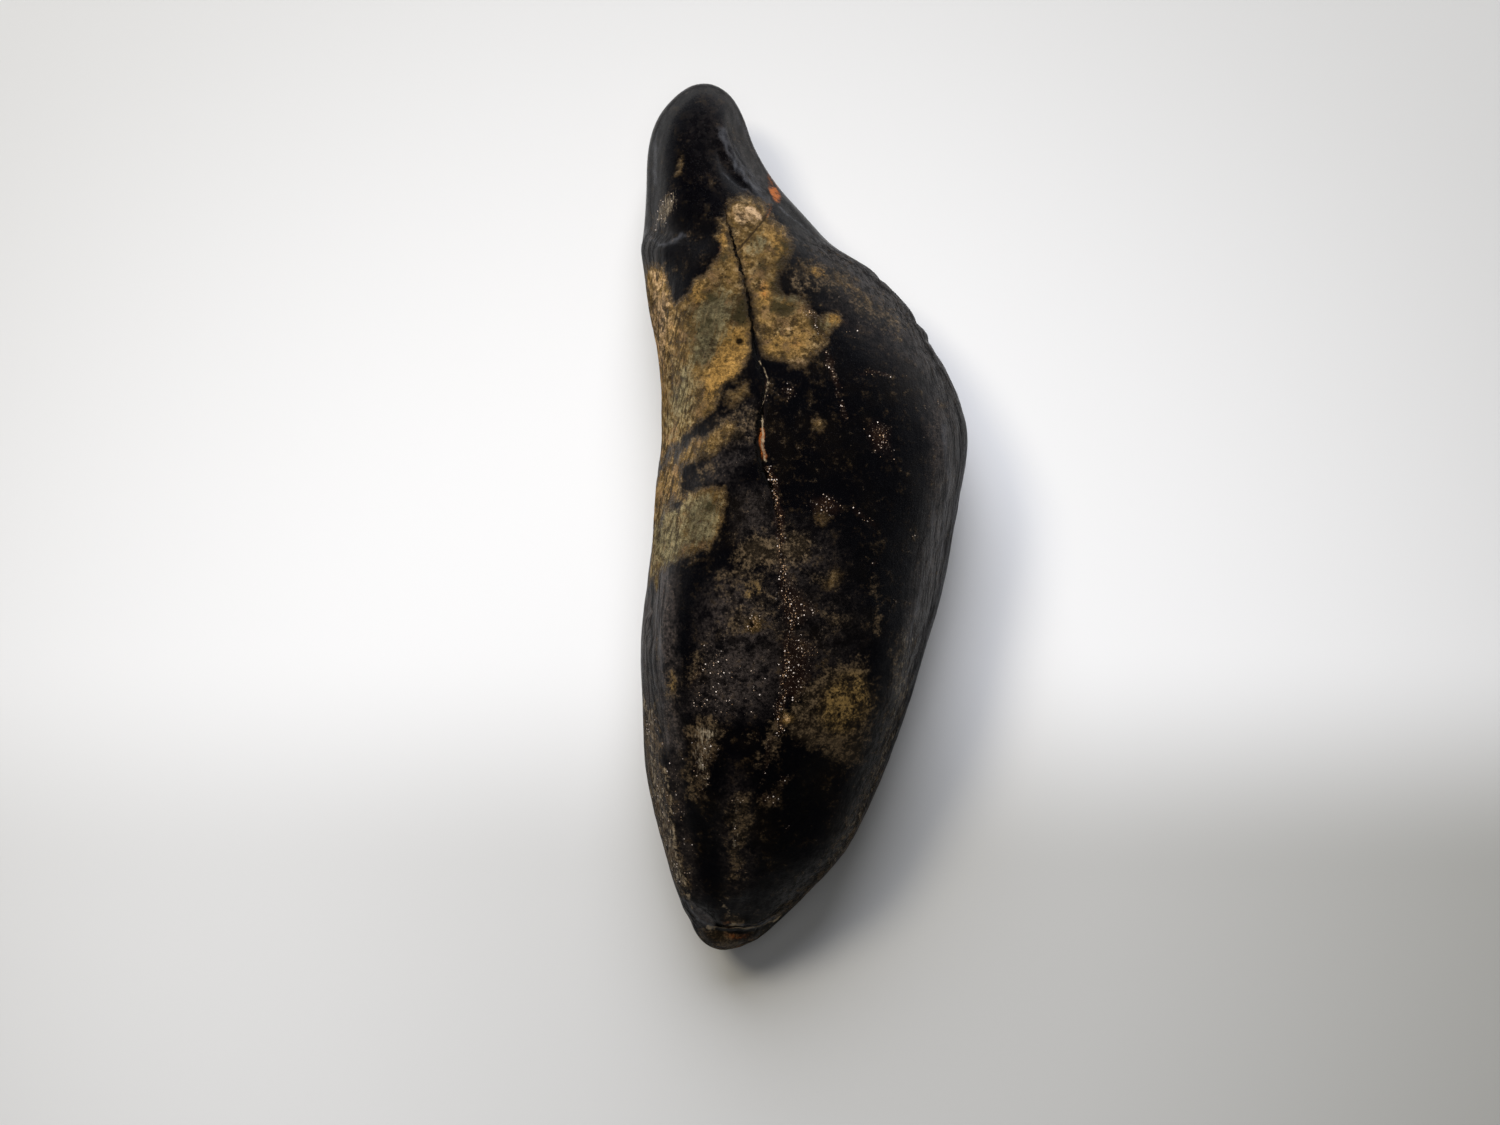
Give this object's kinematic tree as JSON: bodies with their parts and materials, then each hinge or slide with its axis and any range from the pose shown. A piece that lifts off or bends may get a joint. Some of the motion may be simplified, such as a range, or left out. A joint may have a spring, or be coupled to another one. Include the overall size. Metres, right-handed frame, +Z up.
{
  "type": "fossil whale tooth",
  "caption": "Curved fossil whale tooth with a blunt worn crown, a swollen tapering root, a long crack on its upper face and a small flat worn underside it rests on.",
  "frame": {"origin": "middle of the plan bounding box, on the plane the tooth rests on", "axes": "+Y along the tooth towards the crown tip, +X towards the swollen convex side, +Z up through the cracked face"},
  "size_m": [0.0444, 0.1198, 0.0296],
  "materials": {
    "fossil": "Mineralised tooth: polished black over most of the skin, worn through to tan, ochre and grey-green in patches, with fine pores and pale mineral grains along the crack."
  },
  "bodies": {
    "root": {"tooth": "fossil"}
  },
  "joints": []
}
